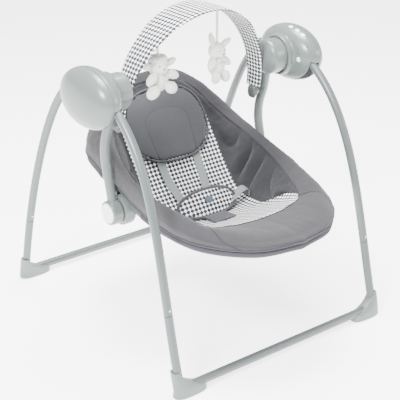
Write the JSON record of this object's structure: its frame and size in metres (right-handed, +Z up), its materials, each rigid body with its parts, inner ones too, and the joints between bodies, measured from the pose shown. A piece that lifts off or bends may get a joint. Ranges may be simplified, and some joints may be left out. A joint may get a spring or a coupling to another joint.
{
  "type": "baby swing",
  "caption": "Folding electric baby swing: reclining padded bucket seat hung by side arms from motor hubs on A-frame tube legs, with a tilting toy bar.",
  "frame": {"origin": "on the floor, under the middle of the object's box", "axes": "+Z up, -Y towards the front of the seat where the child's feet are, +X to the right in a view from the front"},
  "size_m": [0.738, 0.836, 0.8357],
  "materials": {
    "hub_plastic": "smooth satin grey-green moulding",
    "arm_plastic": "smooth satin grey-green moulding",
    "foot_plastic": "fine matte grey moulding",
    "housing_plastic": "satin grey moulding",
    "button_plastic": "near-white moulding",
    "leg_tube": "silver-grey powder coat",
    "seat_tube": "silver-grey powder coat",
    "steel": "turned steel",
    "black_plastic": "black moulding",
    "button_grey": "grey moulding",
    "board": "solder-masked board",
    "coil": "enamelled winding",
    "cell": "wrapped cell",
    "cover_fabric": "woven polyester, dark grey",
    "headrest_fabric": "padded grey jersey",
    "pattern_fabric": "white stars on dark grey",
    "webbing": "woven webbing",
    "plush": "short white plush"
  },
  "bodies": {
    "root": {"rear_base_tube": "leg_tube", "rear_left_leg": "leg_tube", "rear_right_leg": "leg_tube", "rear_left_foot": "foot_plastic", "rear_right_foot": "foot_plastic", "left_hub_outer_shell": "hub_plastic", "left_hub_inner_shell": "hub_plastic", "right_hub_outer_shell": "hub_plastic", "right_hub_inner_shell": "hub_plastic", "battery_cover": "hub_plastic", "battery_cell_1": "cell", "battery_cell_2": "cell", "battery_cell_3": "cell", "circuit_board": "board", "drive_coil": "coil", "speaker": "black_plastic", "left_axle_bush": "black_plastic", "right_axle_bush": "black_plastic"},
    "front_frame": {"front_base_tube": "leg_tube", "front_left_leg": "leg_tube", "front_right_leg": "leg_tube", "front_left_foot": "foot_plastic", "front_right_foot": "foot_plastic", "left_fold_knuckle": "black_plastic", "right_fold_knuckle": "black_plastic"},
    "swing": {"left_swing_arm": "arm_plastic", "right_swing_arm": "arm_plastic", "left_axle": "steel", "right_axle": "steel", "magnet_lever": "black_plastic"},
    "seat": {"seat_cover": "cover_fabric", "headrest_pad": "headrest_fabric", "left_shoulder_strap": "webbing", "right_shoulder_strap": "webbing", "left_waist_strap": "webbing", "right_waist_strap": "webbing", "crotch_pad": "pattern_fabric", "buckle": "black_plastic", "seat_front_tube": "seat_tube", "seat_rear_tube": "seat_tube", "seat_back_tube": "seat_tube", "left_recline_housing": "housing_plastic", "right_recline_housing": "housing_plastic"},
    "toy_bar": {"toy_bar": "pattern_fabric", "left_bar_clip": "housing_plastic", "right_bar_clip": "housing_plastic"},
    "lamb": {"lamb_toy": "plush"},
    "rabbit": {"rabbit_toy": "plush"},
    "front_left_snap_button": {"front_left_snap_button": "steel"},
    "front_right_snap_button": {"front_right_snap_button": "steel"},
    "rear_left_snap_button": {"rear_left_snap_button": "steel"},
    "rear_right_snap_button": {"rear_right_snap_button": "steel"},
    "left_recline_button": {"left_recline_button": "button_plastic"},
    "right_recline_button": {"right_recline_button": "button_plastic"},
    "left_fold_button": {"left_fold_button": "button_plastic"},
    "right_fold_button": {"right_fold_button": "button_plastic"},
    "power_button": {"power_button": "button_plastic"},
    "speed_button": {"speed_button": "button_plastic"},
    "melody_button": {"melody_button": "button_plastic"},
    "buckle_button": {"buckle_button": "button_grey"}
  },
  "joints": [
    {"name": "front_fold", "type": "hinge", "parent": "root", "child": "front_frame", "pos_m": [0, 0.006, 0.657], "axis": [1, 0, 0], "range_deg": [0, 50]},
    {"name": "swing_pivot", "type": "hinge", "parent": "root", "child": "swing", "pos_m": [0, 0.006, 0.657], "axis": [1, 0, 0], "range_deg": [-15, 15]},
    {"name": "seat_recline", "type": "hinge", "parent": "swing", "child": "seat", "pos_m": [0, 0.029, 0.327], "axis": [-1, 0, 0], "range_deg": [0, 20]},
    {"name": "toy_bar_tilt", "type": "hinge", "parent": "swing", "child": "toy_bar", "pos_m": [0, 0.044, 0.553], "axis": [1, 0, 0], "range_deg": [-30, 30]},
    {"name": "lamb_sway", "type": "hinge", "parent": "toy_bar", "child": "lamb", "pos_m": [-0.122, 0.00655, 0.78072], "axis": [1, 0, 0], "range_deg": [-25, 25]},
    {"name": "rabbit_sway", "type": "hinge", "parent": "toy_bar", "child": "rabbit", "pos_m": [0.06, 0.00071, 0.81541], "axis": [1, 0, 0], "range_deg": [-25, 25]},
    {"name": "front_left_snap", "type": "slide", "parent": "front_frame", "child": "front_left_snap_button", "axis": [0, 1, 0], "range_m": [0, 0.0022], "stiffness_N_per_m": 300, "springref_m": -0.003},
    {"name": "front_right_snap", "type": "slide", "parent": "front_frame", "child": "front_right_snap_button", "axis": [0, 1, 0], "range_m": [0, 0.0022], "stiffness_N_per_m": 300, "springref_m": -0.003},
    {"name": "rear_left_snap", "type": "slide", "parent": "root", "child": "rear_left_snap_button", "axis": [0, 1, 0], "range_m": [0, 0.0022], "stiffness_N_per_m": 300, "springref_m": -0.003},
    {"name": "rear_right_snap", "type": "slide", "parent": "root", "child": "rear_right_snap_button", "axis": [0, 1, 0], "range_m": [0, 0.0022], "stiffness_N_per_m": 300, "springref_m": -0.003},
    {"name": "left_recline_press", "type": "slide", "parent": "swing", "child": "left_recline_button", "axis": [1, 0, 0], "range_m": [0, 0.003], "stiffness_N_per_m": 500, "springref_m": -0.003},
    {"name": "right_recline_press", "type": "slide", "parent": "swing", "child": "right_recline_button", "axis": [-1, 0, 0], "range_m": [0, 0.003], "stiffness_N_per_m": 500, "springref_m": -0.003},
    {"name": "left_fold_press", "type": "slide", "parent": "root", "child": "left_fold_button", "axis": [-1, 0, 0], "range_m": [0, 0.002], "stiffness_N_per_m": 500, "springref_m": -0.003},
    {"name": "right_fold_press", "type": "slide", "parent": "root", "child": "right_fold_button", "axis": [1, 0, 0], "range_m": [0, 0.002], "stiffness_N_per_m": 500, "springref_m": -0.003},
    {"name": "power_press", "type": "slide", "parent": "root", "child": "power_button", "axis": [0.3044, 0.0731, -0.9497], "range_m": [0, 0.0012], "stiffness_N_per_m": 300, "springref_m": -0.002},
    {"name": "speed_press", "type": "slide", "parent": "root", "child": "speed_button", "axis": [0.3131, 0.2388, -0.9192], "range_m": [0, 0.0012], "stiffness_N_per_m": 300, "springref_m": -0.002},
    {"name": "melody_press", "type": "slide", "parent": "root", "child": "melody_button", "axis": [0.3293, 0.3967, -0.8569], "range_m": [0, 0.0012], "stiffness_N_per_m": 300, "springref_m": -0.002},
    {"name": "buckle_press", "type": "slide", "parent": "seat", "child": "buckle_button", "axis": [0, 0.0507, -0.9987], "range_m": [0, 0.002], "stiffness_N_per_m": 400, "springref_m": -0.002}
  ]
}
